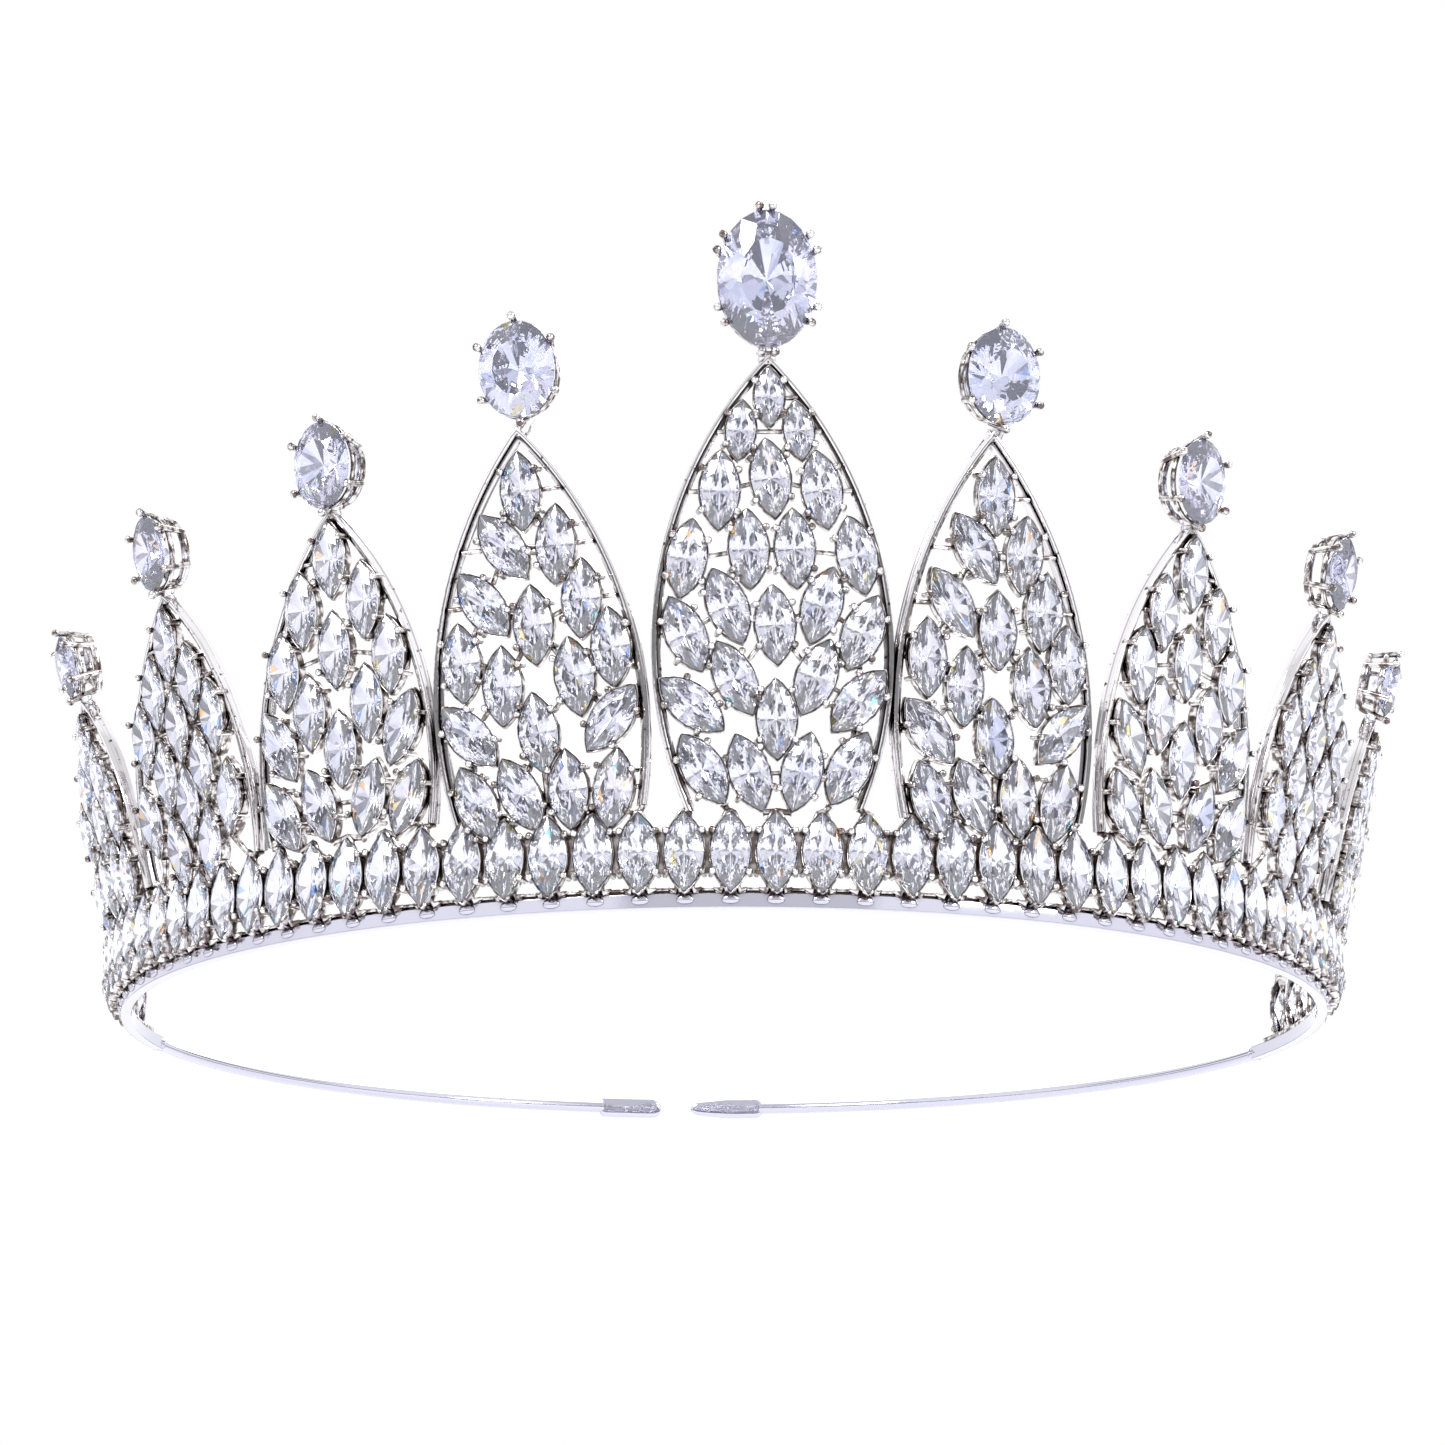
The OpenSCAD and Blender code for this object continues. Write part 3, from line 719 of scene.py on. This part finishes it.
def tip(shape, side, gap, length, outer, leaf):
    """A flattened tip, from a gap at the back centre on: a stadium, or a leaf."""
    middle = outer - STRIP_T / 2
    rings = []
    for share in [0.5 - 0.5 * math.cos(math.pi * i / 36) for i in range(37)]:
        round_end = math.sqrt(max(1 - (1 - min(share / 0.14, 1)) ** 2, 0))
        wire_end = math.sqrt(max(1 - (1 - min((1 - share) / 0.11, 1)) ** 2, 0))
        body = round_end * (0.62 + 0.38 * min(share / 0.5, 1)) if leaf else round_end
        half = max(body * wire_end * TIP_H / 2, 0.03 * MM)
        thick = max(TIP_T / 2 * min(round_end, wire_end) ** 0.5, 0.02 * MM)
        turn = side * (math.pi - (gap + share * length) / middle)
        ring = []
        for t in np.linspace(0, 2 * math.pi, 20, endpoint=False):
            u, v = eased(math.cos(t), 0.55), eased(math.sin(t), 0.55)
            r = middle + u * thick
            ring.append((r * math.sin(turn), -r * math.cos(turn), TIP_H / 2 + v * half))
        rings.append(np.array(ring))
    shape.skin(rings if side > 0 else rings[::-1])


# ---------------------------------------------------------------- materials


def material(name):
    """A new material, its nodes, its links and its shader."""
    made = bpy.data.materials.new(name)
    made.use_nodes = True
    tree = made.node_tree
    return made, tree.nodes, tree.links, tree.nodes["Principled BSDF"]


def metal(name, tone, shadow, dull, painted_speck_range, relief):
    """Rhodium plate: bright, with the waves of its making. Its base colour runs to a dark colour
    in crevices, as painted shade, and in noise specks, as painted dark reflections.

    The range of the painted specks is that of the noise from dark to bright. A lower range means
    fewer specks.
    """
    made, nodes, wires, shader = material(name)
    shader.inputs["Metallic"].default_value = 1.0
    place = nodes.new("ShaderNodeTexCoord").outputs["Object"]

    def noise(scale, detail):
        node = nodes.new("ShaderNodeTexNoise")
        node.inputs["Scale"].default_value = scale
        node.inputs["Detail"].default_value = detail
        wires.new(place, node.inputs["Vector"])
        return node.outputs["Fac"]

    def mapped(source, ends, low, high):
        """A value mapped "From" low and high to 0 and 1, or "To" them from 0 and 1."""
        node = nodes.new("ShaderNodeMapRange")
        node.inputs[ends + " Min"].default_value = low
        node.inputs[ends + " Max"].default_value = high
        wires.new(source, node.inputs["Value"])
        return node.outputs["Result"]

    cloud = noise(1300, 3)
    # Painted shade: ambient occlusion darkens the base colour in crevices and between parts.
    painted_crevice_shade = nodes.new("ShaderNodeAmbientOcclusion")
    painted_crevice_shade.samples = 6
    painted_crevice_shade.inputs["Distance"].default_value = 0.6 * MM
    both = nodes.new("ShaderNodeMath")
    both.operation = "MULTIPLY"
    wires.new(mapped(painted_crevice_shade.outputs["AO"], "From", 0.40, 0.92), both.inputs[0])
    # Painted dark reflections: where the noise is low, the base colour turns dark in specks.
    wires.new(mapped(cloud, "From", *painted_speck_range), both.inputs[1])
    colours = nodes.new("ShaderNodeValToRGB")
    colours.color_ramp.elements[0].color = (*shadow, 1)
    colours.color_ramp.elements[1].color = (*tone, 1)
    wires.new(both.outputs[0], colours.inputs["Fac"])
    wires.new(colours.outputs["Color"], shader.inputs["Base Color"])
    wires.new(mapped(cloud, "To", dull * 0.6, dull * 1.6), shader.inputs["Roughness"])
    bump = nodes.new("ShaderNodeBump")
    bump.inputs["Strength"].default_value = relief
    bump.inputs["Distance"].default_value = 0.06 * MM
    wires.new(noise(900, 2), bump.inputs["Height"])
    wires.new(bump.outputs["Normal"], shader.inputs["Normal"])
    return made


def gem(name, tints_and_painted_light):
    """Cubic zirconia: clear, faintly lilac, with painted sparkle, dark reflections and fire by
    facet.
    """
    made, nodes, wires, shader = material(name)
    shade = nodes.new("ShaderNodeAttribute")
    shade.attribute_name = "shade"
    ramp = nodes.new("ShaderNodeValToRGB")
    ramp.color_ramp.interpolation = "CONSTANT"
    stops = ramp.color_ramp.elements
    for i, (position, colour) in enumerate(tints_and_painted_light):
        stop = stops[i] if i < 2 else stops.new(position)
        stop.position = position
        stop.color = (*colour, 1)
    wires.new(shade.outputs["Fac"], ramp.inputs["Fac"])
    wires.new(ramp.outputs["Color"], shader.inputs["Base Color"])
    shader.inputs["Roughness"].default_value = 0.0
    shader.inputs["IOR"].default_value = 2.15
    shader.inputs["Transmission Weight"].default_value = 0.94
    return made


# ---------------------------------------------------------------- the tiara


def build():
    """Makes all materials and pieces."""
    # Each metal: tone, the dark colour of its painted shade and painted dark reflections,
    # roughness, range of its painted specks, and bump.
    bright = metal(
        "polished_rhodium", (0.58, 0.57, 0.66), (0.26, 0.24, 0.27), 0.07, (0, 0.01), 0.1
    )
    drawn = metal(
        "drawn_rhodium", (0.80, 0.78, 0.79), (0.08, 0.06, 0.055), 0.07, (0.28, 0.34), 0.25
    )
    cast = metal(
        "cast_rhodium", (0.80, 0.77, 0.76), (0.15, 0.12, 0.11), 0.09, (0.41, 0.56), 0.8
    )
    stone = gem("marquise_zirconia", ROW_TINT_AND_PAINTED_SPARKLE + PAINTED_FIRE_TINTS)
    oval_stone = gem("oval_zirconia", OVAL_TINT_AND_PAINTED_SPARKLE + PAINTED_FIRE_TINTS)
    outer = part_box("base_rail")[1].x

    row = sorted(places("base_stones"), key=from_front)
    make("base_stones", stone, "marquise_stone", None, lambda s: [
        brilliant(s, p, lens, random.Random(7 + i), ROW_SIDES) for i, p in enumerate(row)
    ])
    arches = {name: Arch(name) for name in ARCHES}
    feet = [
        foot for name, arch in arches.items()
        for foot in arch_feet(arch, places(name + "_stones"))
    ]
    make("base_settings", cast, "setting_metal", 50, lambda s: base_row(s, row, feet))
    make("base_rail", cast, "setting_metal", 40, lambda s: rail(s, row, outer))
    make("headband", bright, "polished_metal", 40, lambda s: (
        headband(s, outer), [pad(s, from_front(p), outer) for p in row]
    ))
    make("left_tip", bright, "polished_metal", 60, lambda s: tip(
        s, -1, 3.1 * MM, 8 * MM, outer, leaf=False
    ))
    make("right_tip", bright, "polished_metal", 60, lambda s: tip(
        s, 1, 0.8 * MM, 9.3 * MM, outer, leaf=True
    ))

    for name, arch in arches.items():
        stones = places(name + "_stones")
        seed = sum(map(ord, name))
        make(name + "_stones", stone, "marquise_stone", None, lambda s: [
            brilliant(s, p, lens, random.Random(seed + i), ROW_SIDES)
            for i, p in enumerate(stones)
        ])
        make(name + "_oval_stone", oval_stone, "oval_stone", None, lambda s: brilliant(
            s, arch.oval, ellipse, random.Random(seed), OVAL_SIDES
        ))
        make(name + "_settings", cast, "setting_metal", 50, lambda s: settings(s, arch, stones))
        make(name + "_frame", drawn, "polished_metal", 35, lambda s: (rim(s, arch), neck(s, arch)))
        make(name + "_basket", cast, "setting_metal", 50, lambda s: basket(
            s, arch.oval, twins=name == "centre"
        ))


def from_front(place):
    """A stone's angle round the head, from the front centre."""
    return math.atan2(place.middle[0], -place.middle[1])


def settings(shape, arch, stones):
    """The settings of an arch, joined to each other and to its rim."""
    for stone in stones:
        wall(shape, stone)
        prongs(shape, stone, [other for other in stones if other is not stone])
    links(shape, stones)
    rim_links(shape, arch, stones)


def make(name, finish, slot, sharp, draw):
    """Draws the piece that stands for one CAD node."""
    shape = Shape()
    draw(shape)
    shape.piece(name + "_piece", finish, slot, [name], sharp)


# ---------------------------------------------------------------- the studio


def floor():
    """A plain pale floor."""
    mesh = bpy.data.meshes.new("floor")
    corners = ((-1, -1), (1, -1), (1, 1), (-1, 1))
    mesh.from_pydata(
        [(x * FLOOR_HALF, y * FLOOR_HALF, FLOOR_Z) for x, y in corners], [], [(0, 1, 2, 3)]
    )
    plane = bpy.data.objects.new("floor", mesh)
    bpy.context.scene.collection.objects.link(plane)
    made, nodes, wires, shader = material("floor_paper")
    grain = nodes.new("ShaderNodeTexNoise")
    grain.inputs["Scale"].default_value = 40
    tone = nodes.new("ShaderNodeValToRGB")
    tone.color_ramp.elements[0].color = (0.86, 0.86, 0.87, 1)
    tone.color_ramp.elements[1].color = (0.90, 0.90, 0.91, 1)
    wires.new(grain.outputs["Fac"], tone.inputs["Fac"])
    wires.new(tone.outputs["Color"], shader.inputs["Base Color"])
    shader.inputs["Roughness"].default_value = 0.9
    mesh.materials.append(made)


def sky():
    """White to the camera. The tiara reflects a pale studio with dark parts instead.

    Behind the tiara those are a stretch high up and the horizon. In front of it, two bright
    boxes stand at the sides, and the horizon and a round spot about the camera are darker.
    """
    world = bpy.data.worlds.new("studio")
    bpy.context.scene.world = world
    world.use_nodes = True
    nodes, wires = world.node_tree.nodes, world.node_tree.links
    nodes.clear()
    way = nodes.new("ShaderNodeSeparateXYZ")
    wires.new(nodes.new("ShaderNodeTexCoord").outputs["Generated"], way.inputs[0])

    def step(source, low, high):
        ramp = nodes.new("ShaderNodeMapRange")
        ramp.interpolation_type = "SMOOTHSTEP"
        for key, value in (("From Min", low), ("From Max", high)):
            ramp.inputs[key].default_value = value
        wires.new(source, ramp.inputs["Value"])
        return ramp.outputs["Result"]

    def calc(kind, a, b):
        node = nodes.new("ShaderNodeMath")
        node.operation = kind
        for socket, value in zip(node.inputs, (a, b)):
            if isinstance(value, (int, float)):
                socket.default_value = value
            else:
                wires.new(value, socket)
        return node.outputs[0]

    x, y, z = way.outputs
    dark_room = calc("MULTIPLY", step(z, 0.29, 0.32), step(z, 0.47, 0.43))
    front = step(y, 0.05, -0.15)
    boxes = calc("MULTIPLY", step(calc("ABSOLUTE", x, 0), 0.34, 0.42), step(z, 0.05, 0.10))
    horizon = calc("MULTIPLY", step(z, -0.08, -0.05), step(z, 0.06, 0.04))
    dark = calc("MULTIPLY", calc("MAXIMUM", dark_room, horizon), 0.90)
    bright = calc("SUBTRACT", 1.25, dark)
    up = calc("ADD", z, 0.24)
    from_lens = calc("SQRT", calc("ADD", calc("MULTIPLY", x, x), calc("MULTIPLY", up, up)), 0)
    lens_spot = calc("ADD", calc("MULTIPLY", step(from_lens, 0.14, 0.26), 0.8), 0.2)
    walls = calc("SUBTRACT", 0.92, calc("MULTIPLY", horizon, 0.65))
    lit = calc("ADD", calc("MULTIPLY", boxes, 0.4), walls)
    front_light = calc("MULTIPLY", lit, lens_spot)
    chosen = nodes.new("ShaderNodeMix")
    wires.new(front, chosen.inputs["Factor"])
    wires.new(bright, chosen.inputs["A"])
    wires.new(front_light, chosen.inputs["B"])

    studio = nodes.new("ShaderNodeBackground")
    studio.inputs["Color"].default_value = (0.97, 0.975, 1.0, 1)
    wires.new(chosen.outputs["Result"], studio.inputs["Strength"])
    paper = nodes.new("ShaderNodeBackground")
    paper.inputs["Color"].default_value = (1, 1, 1, 1)
    mix = nodes.new("ShaderNodeMixShader")
    wires.new(nodes.new("ShaderNodeLightPath").outputs["Is Camera Ray"], mix.inputs["Fac"])
    wires.new(studio.outputs[0], mix.inputs[1])
    wires.new(paper.outputs[0], mix.inputs[2])
    wires.new(mix.outputs[0], nodes.new("ShaderNodeOutputWorld").inputs["Surface"])


def soft_light(name, place, size, power, target=(0, -0.04, 0.03)):
    """A square light that points at the target."""
    data = bpy.data.lights.new(name, "AREA")
    data.size = size
    data.energy = power
    lamp = bpy.data.objects.new(name, data)
    lamp.location = place
    lamp.rotation_euler = (Vector(target) - Vector(place)).to_track_quat("-Z", "Y").to_euler()
    bpy.context.scene.collection.objects.link(lamp)


def studio():
    """Floor, light and camera."""
    floor()
    sky()
    soft_light("key", (-0.5, -0.75, 0.7), 0.35, 5)
    soft_light("fill", (0.65, -0.6, 0.35), 0.3, 3)
    soft_light("back", (0.2, 0.8, 0.6), 0.5, 3)
    data = bpy.data.cameras.new("camera")
    data.lens = LENS
    data.sensor_width = SENSOR
    data.clip_start = 0.01
    camera = bpy.data.objects.new("camera", data)
    camera.matrix_world = (
        Matrix.Translation(CAMERA_PLACE)
        @ Matrix.Rotation(CAMERA_TURN, 4, "Z")
        @ Matrix.Rotation(math.pi / 2 + CAMERA_RISE, 4, "X")
        @ Matrix.Rotation(CAMERA_ROLL, 4, "Z")
    )
    bpy.context.scene.collection.objects.link(camera)
    bpy.context.scene.camera = camera
    bpy.context.scene.view_settings.view_transform = "Standard"


build()
studio()
